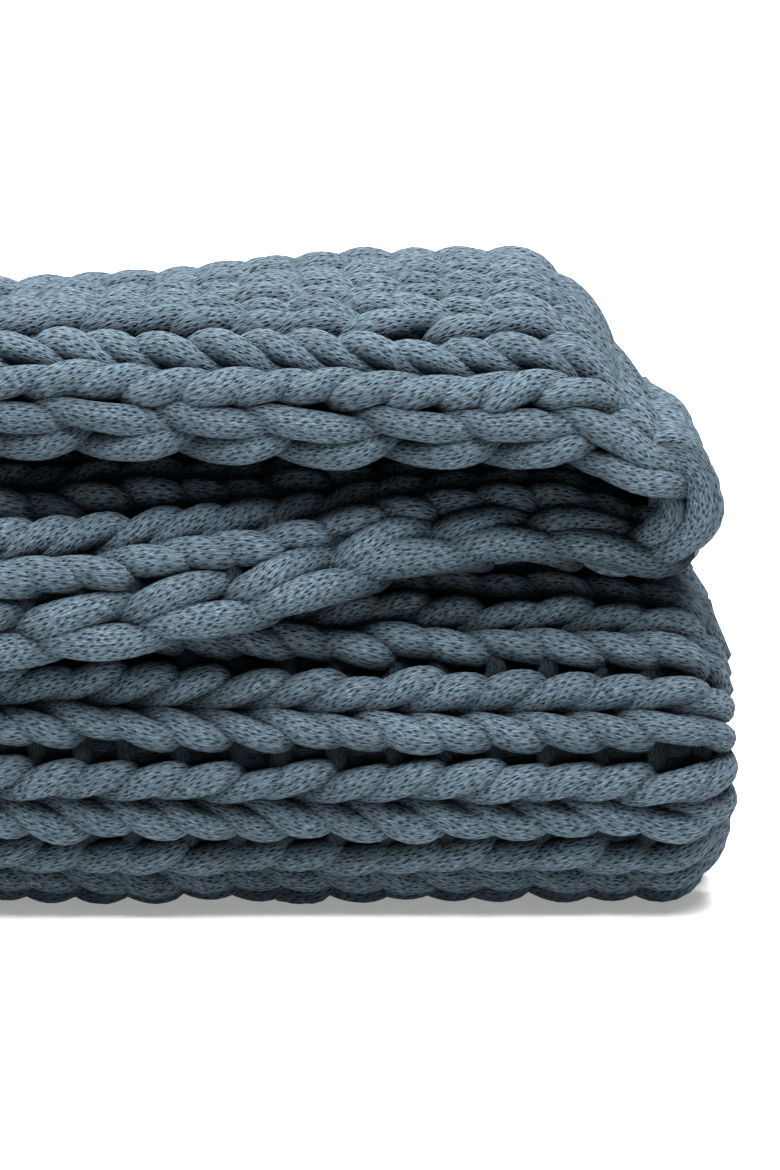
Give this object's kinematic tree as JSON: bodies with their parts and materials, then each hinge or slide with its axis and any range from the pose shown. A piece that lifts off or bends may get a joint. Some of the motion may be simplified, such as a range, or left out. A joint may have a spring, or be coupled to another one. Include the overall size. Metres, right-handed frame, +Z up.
{
  "type": "folded chunky knit throw",
  "caption": "Chunky rib knit throw in slate blue knitted-tube yarn, folded in half and then in three, resting in a soft stack.",
  "frame": {"origin": "middle of the underside, on the surface that the throw rests on", "axes": "+X along the stack to the crosswise fold at its right end, +Y to the back, +Z up"},
  "size_m": [0.7654, 0.3918, 0.1965],
  "materials": {
    "yarn": "matt slate blue knitted-tube yarn, softly fuzzy"
  },
  "bodies": {
    "root": {"knit_throw": "yarn"}
  },
  "joints": []
}
